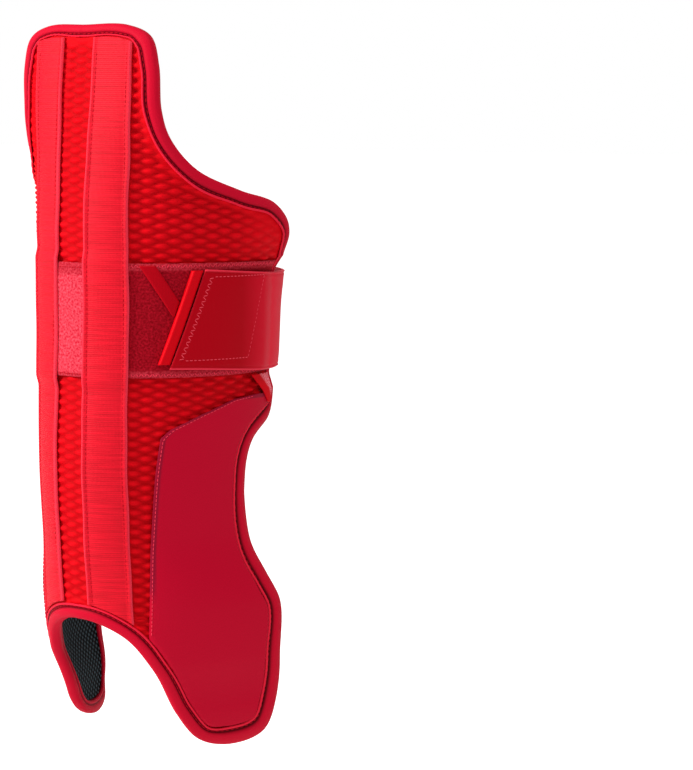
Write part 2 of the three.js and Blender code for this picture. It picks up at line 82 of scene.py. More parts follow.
# %% [markdown]
# ## The form of the leg
# On the real guard every layer is cloth laid on one leg. The form could be sculpted. Here it is a
# formula, because each layer needs the same surface at its own lift. At each height the section is an
# ellipse, so a point is named by its reach along the cloth from the shin line, its height, and its
# lift off the pad. A cubic that never overshoots runs between the rows of the tables.

# %% Sizes of the guard
guard_height = 410 * mm
strap_height = 0.6024 * guard_height
calf_half_width = 62.7 * mm
calf_half_depth = 72.8 * mm
wing_reach = 141 * mm
pad_thickness = 4.5 * mm
lining_thickness = 1 * mm
layer_gap = 0.5 * mm
binding_lip = 9 * mm
band_start = 9.2 * mm
band_width = 26 * mm
panel_half = 63.5 / 2 * mm

# %% Tables of the form and of the cut
# height, front, half width, half depth
leg_form = np.array([
    (0.000, 0.836, 1.169, 3.000), (0.061, 0.889, 1.277, 3.000), (0.134, 0.936, 1.138, 1.680),
    (0.202, 0.956, 1.123, 1.440), (0.305, 1.013, 0.954, 1.227), (0.402, 1.039, 0.923, 1.067),
    (0.524, 1.012, 0.974, 1.007), (0.602, 1.000, 1.000, 1.000), (0.680, 1.001, 1.031, 1.040),
    (0.720, 1.003, 1.130, 1.190), (0.754, 0.995, 1.170, 1.227), (0.812, 0.973, 1.246, 1.227),
    (0.898, 0.924, 1.770, 1.187), (1.000, 0.863, 2.460, 1.267),
])
# reach, height: half of the cut laid out flat, from the knee tab round the wing to the arch
cut_outline = np.array([
    (0.000, 1.000), (0.206, 0.999), (0.316, 0.983), (0.356, 0.944), (0.372, 0.885), (0.411, 0.846),
    (0.518, 0.806), (0.716, 0.778), (0.896, 0.761), (0.998, 0.731), (1.014, 0.690), (1.006, 0.598),
    (1.014, 0.510), (0.980, 0.466), (0.844, 0.428), (0.803, 0.366), (0.807, 0.290), (0.862, 0.245),
    (0.918, 0.202), (0.904, 0.139), (0.853, 0.061), (0.784, 0.015), (0.638, 0.000), (0.489, 0.012),
    (0.397, 0.054), (0.319, 0.117), (0.220, 0.162), (0.099, 0.184), (0.000, 0.189),
])


# %% A cubic through the rows of a table
def cubic(t, start, end, leaving, arriving):
    """From start to end, with the slope that it leaves with and the one it arrives with."""
    return ((2 * t**3 - 3 * t**2 + 1) * start + (t**3 - 2 * t**2 + t) * leaving
            + (3 * t**2 - 2 * t**3) * end + (t**3 - t**2) * arriving)


def steady_cubic(x, xs, ys):
    widths = np.diff(xs)
    slopes = np.diff(ys) / widths
    tangents = np.zeros(len(xs))
    tangents[0], tangents[-1] = slopes[0], slopes[-1]
    for i in range(1, len(xs) - 1):
        if slopes[i - 1] * slopes[i] > 0:
            before = 2 * widths[i] + widths[i - 1]
            after = widths[i] + 2 * widths[i - 1]
            tangents[i] = (before + after) / (before / slopes[i - 1] + after / slopes[i])
    x = np.clip(x, xs[0], xs[-1])
    i = np.clip(np.searchsorted(xs, x) - 1, 0, len(widths) - 1)
    t = (x - xs[i]) / widths[i]
    return cubic(t, ys[i], ys[i + 1], widths[i] * tangents[i], widths[i] * tangents[i + 1])


def section_at(z):
    """Front, half width and half depth of the ellipse at a height."""
    share = (np.asarray(z) + strap_height) / guard_height
    heights, *columns = leg_form.T
    sizes = (-calf_half_depth, calf_half_width, calf_half_depth)
    return [size * steady_cubic(share, heights, column) for size, column in zip(sizes, columns)]


print(len(leg_form), "sections; half width at the strap:", round(float(section_at(0.0)[1]) / mm, 1))


# %% Small helpers
def ease(low, high, x):
    """0 at low, 1 at high, and level at both ends. low may be the larger one."""
    t = np.clip((x - low) / (high - low), 0, 1)
    return t * t * (3 - 2 * t)


def lerp(a, b, t):
    return a + (b - a) * t


def grid(rows, columns):
    """Shares of the way down, as a column, and of the way across, as a row."""
    return np.linspace(0, 1, rows)[:, None], np.linspace(0, 1, columns)[None]


# %% Angle round the ellipse
# The angle for a given reach has no formula, so it is looked up in a grid that is filled once.
def arc_steps(width, depth, turns):
    middle = (turns[1:] + turns[:-1]) / 2
    return np.hypot(width * np.cos(middle), depth * np.sin(middle)) * turns[1]


low_z, high_z = -strap_height - 2 * mm, guard_height - strap_height + 2 * mm
grid_z = np.linspace(low_z, high_z, 420)
grid_reach = np.linspace(0, 430 * mm, 431)
turn_steps = np.linspace(0, 2 * math.pi, 721)
grid_angle = np.zeros((len(grid_z), len(grid_reach)))
for row, height in enumerate(grid_z):
    _, half_width, half_depth = section_at(height)
    arc = np.cumsum(arc_steps(half_width, half_depth, turn_steps))
    grid_angle[row] = np.interp(grid_reach, np.concatenate([[0], arc]), turn_steps)
print(grid_angle.size, "angles")

# %% How the guard as worn leaves that form
# The strap holds the wings in, and above and below it their edges spring out: height, flare in mm.
flare_table = np.array([
    (-0.250, 3.5), (-0.200, 2.0), (-0.150, 2.0), (-0.100, 0.5), (-0.060, 4.0), (-0.042, 3.5),
    (-0.034, 0.5), (0.026, 0.5), (0.034, 4.5), (0.048, 2.5), (0.070, 0.5), (0.100, 0.0),
])
flare_from, flare_full, flare_end = 75 * mm, 135 * mm, 165 * mm
# The lobe on the far side stands a little higher and is drawn in.
far_lobe_rise = 6 * mm
far_lobe_draw = 0.045
far_lobe_top, far_lobe_full = -160 * mm, -240 * mm


def flare(reach, z):
    spring = np.interp(z, flare_table[:, 0], flare_table[:, 1]) * mm
    return spring * ease(flare_from, flare_full, np.abs(reach)) * (np.abs(reach) < flare_end)


print("the wings' edges spring out by up to", flare_table[:, 1].max(), "mm")


# %% From cloth to space
def on_leg(reach, z, lift):
    reach, z, lift = np.broadcast_arrays(reach, z, lift)
    lift = lift + flare(reach, z)
    drawn = np.where(reach < 0, ease(far_lobe_top, far_lobe_full, z), 0.0)
    z = z + far_lobe_rise * drawn
    along = np.abs(reach) * (1 - far_lobe_draw * drawn)
    fz = np.clip((z - low_z) / (grid_z[1] - grid_z[0]), 0, len(grid_z) - 1.001)
    fr = np.clip(along / grid_reach[1], 0, len(grid_reach) - 1.001)
    iz, ir = fz.astype(int), fr.astype(int)
    tz, tr = fz - iz, fr - ir
    angle = lerp(lerp(grid_angle[iz, ir], grid_angle[iz, ir + 1], tr),
                 lerp(grid_angle[iz + 1, ir], grid_angle[iz + 1, ir + 1], tr), tz)
    front, width, depth = section_at(z)
    nx, ny = np.sin(angle) / width, -np.cos(angle) / depth
    length = np.hypot(nx, ny)
    side = np.where(reach < 0, -1.0, 1.0)
    x = side * (width * np.sin(angle) + lift * nx / length)
    y = front + depth * (1 - np.cos(angle)) + lift * ny / length
    return np.stack([x, y, z], axis=-1)


print("shin line at the strap:", on_leg(0.0, 0.0, 0.0).round(4))

# %% [markdown]
# ## The cut of the guard
# The real guard is cut flat from foam and cloth. Its outline could be drawn as a Bezier curve by hand.
# Here it is one closed curve through the rows of the table, as in the solids, so both agree. Its
# points carry the direction into the cloth, so the binding and every inner limit follow it.


# %% A smooth closed curve
def smooth_loop(points, samples):
    count = len(points)
    out = []
    for i in range(count):
        p0, p1, p2, p3 = (points[(i + k) % count] for k in (-1, 0, 1, 2))
        d0, d1, d2 = (max(np.hypot(*(b - a)) ** 0.5, 1e-6) for a, b in ((p0, p1), (p1, p2), (p2, p3)))
        m1 = ((p1 - p0) / d0 - (p2 - p0) / (d0 + d1) + (p2 - p1) / d1) * d1
        m2 = ((p2 - p1) / d1 - (p3 - p1) / (d1 + d2) + (p3 - p2) / d2) * d1
        out += [cubic(t, p1, p2, m1, m2) for t in np.arange(samples) / samples]
    return np.array(out)


def along_path(path, spacing):
    """The same path again with its points evenly spaced."""
    run = np.concatenate([[0], np.cumsum(np.hypot(*np.diff(path, axis=0).T))])
    count = max(int(round(run[-1] / spacing)), 2)
    at = np.linspace(0, run[-1], count + 1)
    return np.column_stack([np.interp(at, run, line) for line in path.T])


def inward(path):
    ahead = np.gradient(path, axis=0)
    ahead /= np.hypot(*ahead.T)[:, None]
    return np.column_stack([ahead[:, 1], -ahead[:, 0]])


# %% The edge as a chain of points
samples_a_row = 40
edge_step = 1.5 * mm
half_cut = np.column_stack([cut_outline[:, 0] * wing_reach,
                            cut_outline[:, 1] * guard_height - strap_height])
loop = smooth_loop(np.vstack([half_cut, half_cut[-2:0:-1] * (-1, 1)]), samples_a_row)
half = loop[: (len(half_cut) - 1) * samples_a_row + 1]
half[0, 0] = half[-1, 0] = 0

edge_path = along_path(half, edge_step)
edge_inward = inward(edge_path)
edge_inward[0], edge_inward[-1] = (0, -1), (0, 1)
lowest = int(np.argmin(edge_path[:, 1]))
arch_z = edge_path[-1, 1]
print("the edge of one half is", round(len(edge_path) * edge_step / mm), "mm long")


# %% Where the cloth ends at a height
def inset_edge(inset):
    """The edge moved inwards. inset is one distance, or one for each point of the edge."""
    return edge_path + inset * edge_inward


def read_off(line, at, known, wanted):
    """One coordinate of a line of points where its other coordinate is at."""
    order = np.argsort(line[:, known])
    return np.interp(at, line[order, known], line[order, wanted])


def outer_reach(z, inset):
    return read_off(inset_edge(inset)[: lowest + 1], z, 1, 0)


def arch_reach(z, inset):
    line = inset_edge(inset)[lowest:]
    return np.where(z > line[:, 1].max(), 0.0, read_off(line, z, 1, 0))


def edge_height(reach, inset, arch):
    """Height of the cut above the shin, or of the arch below it, within 60 mm of the shin line."""
    line = inset_edge(inset)[lowest:] if arch else inset_edge(inset)[:lowest]
    near = line[np.abs(line[:, 0]) < 60 * mm]
    near = near[near[:, 1] < -130 * mm] if arch else near[near[:, 1] > 120 * mm]
    return read_off(near, reach, 0, 1)


# %% Distance from the cut
farthest_looked = 14 * mm


def edge_distance(reach, z):
    """How far each point of a grid lies from the cut, one row after another to save memory."""
    line = edge_path[::2]
    rows = [np.hypot(np.abs(r)[:, None] - line[:, 0], h[:, None] - line[:, 1]).min(axis=1)
            for r, h in zip(reach, z)]
    return np.minimum(rows, farthest_looked)


# %% What the binding does to the cloth
pinch_middle = -2 * mm
pinch_width = 10 * mm
pinch_share = 0.6


def pinched(lift, distance):
    """The binding squeezes the pad: near the edge every layer is drawn towards its middle."""
    share = pinch_share + (1 - pinch_share) * ease(0, pinch_width, distance)
    return pinch_middle + (lift - pinch_middle) * share


def binding_share(path):
    """It is drawn narrower round the knee tab and lies wider down the sides and the lobes."""
    reach, z = np.abs(path[:, 0]), path[:, 1]
    at_top = ease(120 * mm, 150 * mm, z) * ease(44 * mm, 34 * mm, reach)
    at_side = ease(-30 * mm, -80 * mm, z) * ease(60 * mm, 95 * mm, reach)
    return (1 - 0.28 * at_top + 0.35 * at_side)[:, None]


print("narrowest binding:", binding_share(edge_path).min().round(2), "of its plain width")

# %% [markdown]
# ## Finishes
# A finish could be a picture laid on the piece, or a pattern made by nodes. Nodes stay sharp at any
# distance and carry no print. Each finish is named for the real cloth. Its sizes are real millimetres,
# read from a UV map that holds reach and height in metres, so the weave follows the cloth round.


# %% Nodes and colours
def linear(code):
    channels = [int(code[i:i + 2], 16) / 255 for i in (1, 3, 5)]
    return [c / 12.92 if c <= 0.04045 else ((c + 0.055) / 1.055) ** 2.4 for c in channels] + [1.0]


def add(tree, kind, inputs=None, **settings):
    made = tree.nodes.new(kind)
    for name, value in settings.items():
        setattr(made, name, value)
    for name, value in (inputs or {}).items():
        if isinstance(value, bpy.types.NodeSocket):
            tree.links.new(value, made.inputs[name])
        else:
            made.inputs[name].default_value = value
    return made


def new_finish(name, roughness, sheen=0.0, gloss=0.05):
    finish = bpy.data.materials.new(name)
    finish.use_nodes = True
    tree = finish.node_tree
    tree.nodes.clear()
    surface = add(tree, "ShaderNodeBsdfPrincipled", {
        "Roughness": roughness, "IOR": 1.5, "Specular IOR Level": gloss, "Sheen Weight": sheen,
        "Sheen Roughness": 0.5, "Sheen Tint": linear("#ff6a6a")})
    add(tree, "ShaderNodeOutputMaterial", {"Surface": surface.outputs[0]})
    uv = add(tree, "ShaderNodeUVMap", uv_map="cloth")
    print("finish:", name)
    return finish, tree, surface, uv.outputs[0]


def dyed(tree, surface, colour):
    if isinstance(colour, bpy.types.NodeSocket):
        tree.links.new(colour, surface.inputs["Base Color"])
    else:
        surface.inputs["Base Color"].default_value = linear(colour)


# %% Weave and grain
def calculate(tree, operation, *values):
    return add(tree, "ShaderNodeMath", dict(enumerate(values)), operation=operation).outputs[0]


def threads(tree, uv, across_mm, along_mm):
    """Two sine waves at the spacing of the threads."""
    split = add(tree, "ShaderNodeSeparateXYZ", {0: uv})
    waves = []
    for axis, pitch in (("X", across_mm), ("Y", along_mm)):
        phase = calculate(tree, "MULTIPLY", split.outputs[axis], 2 * math.pi / (pitch * mm))
        waves.append(calculate(tree, "SINE", phase))
    return waves


def woven(tree, uv, across_mm, along_mm):
    return calculate(tree, "MULTIPLY", *threads(tree, uv, across_mm, along_mm))


def cloudy(tree, uv, size_mm, detail=2.0):
    size = {"Vector": uv, "Scale": 1 / (size_mm * mm), "Detail": detail}
    return add(tree, "ShaderNodeTexNoise", size).outputs[0]


# %% Dye and relief
def tinted(tree, factor, dark, light, low=0.0, high=1.0):
    ramp = add(tree, "ShaderNodeValToRGB", {0: factor})
    for stop, position, code in zip(ramp.color_ramp.elements, (low, high), (dark, light)):
        stop.position = position
        stop.color = linear(code)
    return ramp.outputs[0]


def shade_of(tree):
    """Each piece has a shade from 0 to 1 in the attribute puff: where a dye, painted shade or painted
    light goes.
    """
    return add(tree, "ShaderNodeAttribute", attribute_name="puff").outputs["Fac"]


def mixed_by_shade(tree, at_none, at_full):
    return add(tree, "ShaderNodeMix", {0: shade_of(tree), 6: at_none, 7: at_full},
               data_type="RGBA").outputs[2]


def bumped(tree, surface, height, depth_mm, strength=1.0):
    bump = add(tree, "ShaderNodeBump",
               {"Height": height, "Distance": depth_mm * mm, "Strength": strength})
    tree.links.new(bump.outputs[0], surface.inputs["Normal"])


# %% [markdown]
# ### Padded mesh, lining and loop pile
# The shell is a knitted polyester mesh over foam. Its puffs are modelled. The finish adds painted
# shade in the grooves where they meet, and the fine knit, 0.9 mm from loop to loop. The lining is a
# black knit.
# Real loops would be a million hairs, so clouds of colour and relief stand for the pile.

# %% Padded mesh and lining
mesh_knit, tree, surface, uv = new_finish("knitted polyester mesh", 0.6)
# The colour is darker in the grooves between the puffs and lighter on their tops: painted shade and
# painted light.
dyed(tree, surface, tinted(tree, shade_of(tree), "#c0000c", "#ea0416", 0.0, 0.8))
bumped(tree, surface, woven(tree, uv, 0.9, 0.9), 0.06, 0.6)

# The lining's bumps, in millimetres from one to the next.
bump_across, bump_down = 5.2, 4.4
lining_knit, tree, surface, uv = new_finish("black knitted polyester", 0.6)
bumps_and_highlights = woven(tree, uv, bump_across, bump_down)
bumps_and_highlights = calculate(tree, "MULTIPLY_ADD", threads(tree, uv, 0.9, 0.9)[0], 0.12, bumps_and_highlights)
# Painted highlights: the tops of the bumps are coloured grey and the hollows near black.
dyed(tree, surface, tinted(tree, bumps_and_highlights, "#020304", "#526067", 0.0, 0.9))
bumped(tree, surface, bumps_and_highlights, 0.5, 0.9)

# %% Loop pile
# Where the shade is none the pile is painted lighter, a painted light, as between the shin bands.
loop_pile, tree, surface, uv = new_finish("brushed nylon loop", 0.9, sheen=0.12)
clouds = cloudy(tree, uv, 1.3, 4.0)
pile_painted_light = tinted(tree, clouds, "#c81a30", "#f05868", 0.36, 0.72)
brushed = tinted(tree, clouds, "#84020f", "#bc1026", 0.36, 0.72)
dyed(tree, surface, mixed_by_shade(tree, pile_painted_light, brushed))
bumped(tree, surface, clouds, 0.5, 0.8)

# %% [markdown]
# ### Ribbed elastic, binding, tape and strap
# The shin bands are woven elastic whose ribs run across and are never quite even, so stretched noise
# streaks them. The binding and the tape are folded knit with a slight shine, and the strap is closer
# woven, so it is darker and smoother, like satin.

# %% Elastic
elastic, tree, surface, uv = new_finish("ribbed woven elastic", 0.55, gloss=0.15)
wave_across, wave_along = threads(tree, uv, 0.75, 1.1)
ribs = calculate(tree, "MULTIPLY_ADD", wave_across, 0.35, wave_along)
streak_uv = add(tree, "ShaderNodeMapping", {"Vector": uv, "Scale": (0.06, 1, 1)}).outputs[0]
streaks = calculate(tree, "MULTIPLY_ADD", ribs, 0.12, cloudy(tree, streak_uv, 1.6, 3.0))
# The ribs are coloured lighter on their crests and darker between: painted light and shade that follow
# the bump. The stretched noise is uneven tone of the weave.
ribbed = tinted(tree, streaks, "#c4021a", "#f20a28", 0.22, 0.76)
# Where the shade is 0, at the outer folds, the colour is a lighter pink: a painted highlight on the
# raised folds.
dyed(tree, surface, mixed_by_shade(tree, linear("#fa3c54"), ribbed))
bumped(tree, surface, ribs, 0.07, 0.7)

# %% Binding and tape
# The shade runs from painted shade in the groove, over the body in the middle, to a painted highlight
# on the ridge.
binding_knit, tree, surface, uv = new_finish("folded polyester binding", 0.5)
colour = tinted(tree, shade_of(tree), "#480006", "#f4223e")
colour.node.color_ramp.elements.new(0.5).color = linear("#d00a2c")
dyed(tree, surface, colour)
bumped(tree, surface, woven(tree, uv, 0.7, 0.7), 0.04, 0.5)

tape_red = "#dc0214"
tape_knit, tree, surface, uv = new_finish("smooth polyester tape", 0.45)
dyed(tree, surface, tape_red)
bumped(tree, surface, woven(tree, uv, 0.6, 0.6), 0.03, 0.5)

brushed_tape, tree, surface, uv = new_finish("polyester tape with a brushed end", 0.6)
nap = tinted(tree, cloudy(tree, uv, 0.9, 4.0), "#ec2440", "#ffb8c0", 0.42, 0.68)
dyed(tree, surface, mixed_by_shade(tree, linear(tape_red), nap))

# %% Strap
# Round the side of the calf the strap is painted lighter: a painted highlight.
satin, tree, surface, uv = new_finish("satin elastic webbing", 0.42)
reach_socket = add(tree, "ShaderNodeSeparateXYZ", {0: uv}).outputs[0]
calf_side_highlight = add(tree, "ShaderNodeMapRange",
                {0: reach_socket, 1: 100 * mm, 2: 132 * mm, 3: 0.0, 4: 1.0}).outputs[0]
body = tinted(tree, calf_side_highlight, "#b80014", "#f20a30")
# Its woven edges, where the shade is 0, are a lighter pink: a painted highlight on the selvedge roll.
dyed(tree, surface, mixed_by_shade(tree, linear("#f0344a"), body))
wave_across, wave_along = threads(tree, uv, 0.8, 0.6)
bumped(tree, surface, calculate(tree, "MULTIPLY_ADD", wave_along, 0.4, wave_across), 0.03, 0.5)

# %% [markdown]
# ### Coated panel and thread
# The ankle panels are cloth coated with polyurethane, with a fine grain and a darker sewn border. The
# thread comes in three reds, since every seam shows a little against its own cloth.

# %% Coated panel and thread
coated, tree, surface, uv = new_finish("polyurethane coated cloth", 0.48, gloss=0.08)
grain = cloudy(tree, uv, 0.7, 6.0)
body = tinted(tree, grain, "#c00026", "#cc002c", 0.3, 0.7)
dyed(tree, surface, mixed_by_shade(tree, linear("#9a0a2c"), body))
bumped(tree, surface, grain, 0.05, 0.35)

thread_finish = {}
for name, code in (("pink", "#f04a5c"), ("rose", "#f23c54"), ("red", "#c40f22")):
    thread_finish[name], tree, surface, uv = new_finish("polyester sewing thread, " + name, 0.5)
    dyed(tree, surface, code)

# %% [markdown]
# ## One way to make a layer
# Nearly every piece is a sheet laid on the sheets below it. It could be a plane with a Shrinkwrap and
# a Solidify modifier. Here it is a slab between two grids of points on the leg, rows down and columns
# round, because both sides then keep their exact lift. Each slab is one closed skin, and it thins out
# towards its edges, as pressed and stitched cloth does.


# %% A piece of the guard
def mounted(mesh):
    mesh.shade_smooth()
    piece = bpy.data.objects.new(mesh.name, mesh)
    bpy.context.scene.collection.objects.link(piece)
    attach(piece, "root")
    return piece


def new_piece(node, kind, points, faces, uvs, finish, puff):
    """A mesh with its place on the flat cloth and its shade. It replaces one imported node."""
    mesh = bpy.data.meshes.new(node + "_" + kind)
    mesh.from_pydata(points.tolist(), [], faces)
    layer = mesh.uv_layers.new(name="cloth")
    corners = np.zeros(len(mesh.loops), dtype=np.int64)
    mesh.loops.foreach_get("vertex_index", corners)
    layer.data.foreach_set("uv", uvs[corners].astype(np.float32).ravel())
    shade = mesh.attributes.new("puff", "FLOAT", "POINT")
    shade.data.foreach_set("value", puff.astype(np.float32))
    mesh.materials.append(finish)
    piece = mounted(mesh)
    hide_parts(node)
    print(piece.name, len(points), "points,", len(faces), "faces")
    return piece


# %% The faces of a closed skin
def between(line, under):
    """One row of faces between two chains of points."""
    return np.stack([line[:-1], line[1:], under[1:], under[:-1]], -1).tolist()


def closed(out, ins, left=slice(None, None, -1), right=slice(None)):
    """Both sides of a slab and its rim. left and right are the rows that have a rim there."""
    faces = []
    for a, b, c, d in ((out[:-1, :-1], out[1:, :-1], out[1:, 1:], out[:-1, 1:]),
                       (ins[:-1, :-1], ins[:-1, 1:], ins[1:, 1:], ins[1:, :-1])):
        faces += np.stack([a, b, c, d], -1).reshape(-1, 4).tolist()
    return (faces + between(out[left, 0], ins[left, 0]) + between(out[right, -1], ins[right, -1])
            + between(out[-1, ::-1], ins[-1, ::-1]) + between(out[0], ins[0]))


# %% Slab
def slab(node, kind, reach, z, top, base, finish, shade=1.0, shade_below=0.0, sign=1):
    """A layer between two lifts. A sign of -1 moves it to the far side and turns its columns round."""
    grids = np.broadcast_arrays(sign * reach, z, top, base, shade)
    reach, z, top, base, shade = (each[:, ::sign] for each in grids)
    points = np.vstack([on_leg(reach, z, lift).reshape(-1, 3) for lift in (top, base)])
    uvs = np.tile(np.column_stack([reach.ravel(), z.ravel()]), (2, 1))
    index = np.arange(reach.size).reshape(reach.shape)
    return new_piece(node, kind, points, closed(index, index + reach.size), uvs, finish,
                     np.concatenate([shade.ravel(), np.full(shade.size, shade_below)]))


def pressed(across, down, width, length, margin, edge=0.45):
    """1 inside, falling to the given share over the margin at all four sides."""
    near = np.minimum(np.minimum(across, 1 - across) * width, np.minimum(down, 1 - down) * length)
    return edge + (1 - edge) * ease(0, 1, np.sqrt(np.clip(near / margin, 0, 1)))


# %% [markdown]
# ## The padded shell
# The mesh stands up in puffs, pinched where the knit ties down to the foam. They are 15 mm wide
# and 5.5 mm high, and each row is shifted by half a puff. They could be sculpted or inflated by a
# cloth simulation, which would blur such small puffs. A formula can be laid as fine as needed.

# %% Puffs
puff_width = 15.2 * mm
puff_height = 5.5 * mm
puff_rise = 1.9 * mm
puff_level = 0.75


def puff_at(reach, z):
    """1 on top of a puff and 0 in the grooves round it."""
    a, b = reach / puff_width, z / puff_height
    p, q = a + b, a - b
    p, q = p - np.round(p), q - np.round(q)
    pillow = np.cos(p * math.pi) * np.cos(q * math.pi)
    return np.clip(pillow, 0, 1) ** 1.5


def puffed(reach, z):
    """Puffs are calmer on the upper wings, and beside the binding and the bands, which press them."""
    puff = puff_at(reach, z)
    calm = 1 - 0.75 * ease(92 * mm, 125 * mm, np.abs(reach)) * ease(20 * mm, 60 * mm, z)
    calm = calm * (0.35 + 0.65 * ease(8 * mm, farthest_looked, edge_distance(reach, z)))
    beside_band = np.maximum(band_start - np.abs(reach), np.abs(reach) - band_start - band_width)
    pressed_down = 0.5 + 0.5 * ease(0, 2.4 * mm, beside_band)
    # The second value is the shade for the finish: painted shade in the grooves, weaker where the
    # puffs are calmer.
    return puff_rise * (puff - puff_level) * calm * pressed_down, 1 - (1 - puff) * calm


def level(lift):
    """A side of a layer that lies at one lift and has no shade."""
    return lambda reach, z: (np.full(reach.shape, lift), np.ones(reach.shape))


# %% Grid over half of the cut
shell_inset = 2.2 * mm


def shell_half(columns, rows_above, rows_below):
    """Rows from the knee tab to the arch, and then from the arch to the tip of the lobe."""
    z_top = edge_path[0, 1] - shell_inset - 0.4 * mm
    z_arch = arch_z + shell_inset
    z_tip = edge_path[lowest, 1] + shell_inset + 0.3 * mm
    z = np.concatenate([np.linspace(z_top, z_arch, rows_above + 1),
                        np.linspace(z_arch - 0.5 * mm, z_tip, rows_below)])[:, None]
    t = np.linspace(0, 1, columns + 1)[None]
    return lerp(arch_reach(z, shell_inset), outer_reach(z, shell_inset), t), z + 0 * t


# %% A layer over the whole cut
def shell_layer(node, kind, finish, slot, outside, inside, columns, rows_above, rows_below):
    """outside and inside are functions of reach and height that give a lift and a shade."""
    reach, z = shell_half(columns, rows_above, rows_below)
    reach, z = np.hstack([-reach[:, :0:-1], reach]), np.hstack([z[:, :0:-1], z])
    # Below the arch the two halves part, so the left half gets its own column at the arch.
    parted = (slice(rows_above + 1, None), columns)

    def listed(values, sign=1):
        return np.concatenate([values.ravel(), sign * values[parted]])

    distance = edge_distance(reach, z)
    (top, shade_out), (base, shade_in) = outside(reach, z), inside(reach, z)
    flat_reach, flat_z = listed(reach, -1), listed(z)
    points = np.vstack([on_leg(flat_reach, flat_z, listed(pinched(lift, distance)))
                        for lift in (top, base)])
    uvs = np.tile(np.column_stack([flat_reach, flat_z]), (2, 1))

    right_half = np.arange(reach.size).reshape(reach.shape)
    left_half = right_half.copy()
    left_half[parted] = np.arange(reach.size, flat_reach.size)
    left_half, right_half = left_half[:, :columns + 1], right_half[:, columns:]
    faces = closed(left_half, left_half + flat_reach.size, right=slice(rows_above, None))
    faces += closed(right_half, right_half + flat_reach.size, left=slice(None, rows_above - 1, -1))
    return new_piece(node, kind, points, faces, uvs, finish,
                     np.concatenate([listed(shade_out), listed(shade_in)]))


# %% Padded shell
pad = shell_layer("pad_shell", "mesh", mesh_knit, "padded_mesh", puffed, level(-pad_thickness),
                  90, 410, 96)

# %% [markdown]
# ## The lining
# Inside the shell lies a black knit with small round bumps, seen where the far ankle lobe opens. They
# catch the light there, so they are modelled on the lobes. Higher up the finish alone gives them.

# %% Lining
lining_front = -pad_thickness - layer_gap
lining_back = lining_front - lining_thickness
bump_rise = 0.4 * mm


def ripple(x, wavelength):
    return np.sin(x * 2 * math.pi / wavelength)


def lining_inside(reach, z):
    bump = ripple(reach, bump_across * mm) * ripple(z, bump_down * mm)
    shown = ease(arch_z + 6 * mm, arch_z - 2 * mm, z)
    return lining_back - bump_rise * shown * np.clip(bump, 0, 1), np.ones(reach.shape)


lining_size = (100, 60, 100)
lining = shell_layer("inner_lining", "cloth", lining_knit, "lining", level(lining_front),
                     lining_inside, *lining_size)

# %% [markdown]
# ## The binding
# A strip of knit is folded over the raw edge and sewn through near its own edge. That leaves a full
# roll at the rim, a groove where the needle pulls it down, and a thin ridge. A bevelled curve has one
# section everywhere. Here the section is drawn point by point and swept along the edge of the cut, so
# that it can follow the pinched pad.

# %% Section of the binding
# Distance from the cut and lift, in millimetres, and the painted shade: 0 groove, 0.5 body, 1 ridge.
# It runs from the ridge over the rim to the inside, and back within the fold.
fold_lift = -6.2
binding_section = np.array([
    (9.0, 0.3, 0.25), (9.2, 0.9, 1), (8.8, 1.5, 1), (8.2, 1.5, 1), (7.8, 0.8, 0.1),
    (7.3, 0.1, 0), (6.6, 0.3, 0.05), (6.0, 1.2, 0.4), (5.0, 1.9, 0.5), (3.6, 2.2, 0.5),
    (2.2, 2.0, 0.5), (1.0, 1.3, 0.5), (0.3, 0.0, 0.5), (0.0, -2.0, 0.5), (0.0, -4.5, 0.5),
    (0.2, -6.4, 0.5), (0.9, -7.6, 0.5), (2.2, -8.2, 0.5), (3.6, -8.1, 0.5), (4.6, -7.1, 0.1),
    (5.4, -7.9, 0.5), (6.4, -7.7, 0.5), (7.0, fold_lift, 0.3), (1.5, fold_lift, 0.2), (1.5, 0.3, 0.2),
])
section_inset, section_lift, section_shade = binding_section.T
point_step = 1.6 * mm
print(len(binding_section), "points in the section")

# %% Sweep of the binding
other_half = slice(-2, 0, -1)
path = np.vstack([edge_path, edge_path[other_half] * (-1, 1)])
direction = np.vstack([edge_inward, edge_inward[other_half] * (-1, 1)])
travel = np.arange(len(path)) * edge_step
width_share = binding_share(path)

# The sewn edge wanders a little, and the thread puckers its ridge.
wander = 0.22 * mm * np.sin(travel / (10 * mm)) + 0.15 * mm * np.sin(travel / (4.3 * mm) + 1.0)
pucker = 0.16 * mm * ripple(travel, 4.8 * mm)
inset = width_share * section_inset * mm + wander[:, None] * ease(5, 8.5, section_inset)
lift = section_lift * mm + pucker[:, None] * (section_lift > 1) * ease(6, 9, section_inset)
reach = path[:, 0:1] + inset * direction[:, 0:1]
height = path[:, 1:2] + inset * direction[:, 1:2]
points = on_leg(reach, height, pinched(lift, inset)).reshape(-1, 3)

index = np.arange(reach.size).reshape(reach.shape)
after = np.roll(index, -1, axis=0)
quads = np.stack([after, np.roll(after, -1, axis=1), np.roll(index, -1, axis=1), index], -1)
round_section = (1 + np.arange(len(binding_section))) * point_step
uvs = np.column_stack([np.repeat(travel, len(round_section)), np.tile(round_section, len(path))])
binding = new_piece("edge_binding", "roll", points, quads.reshape(-1, 4).tolist(), uvs,
                    binding_knit, np.tile(section_shade, len(path)))

# %% [markdown]
# ## The loop panel
# A band of brushed loop goes round the calf, so the strap's hooks can grip it anywhere. Its sewn edges
# lie lower than the pile. The pile could be grown as hair, but from here a slab with a little fuzz
# and the brushed finish looks the same.

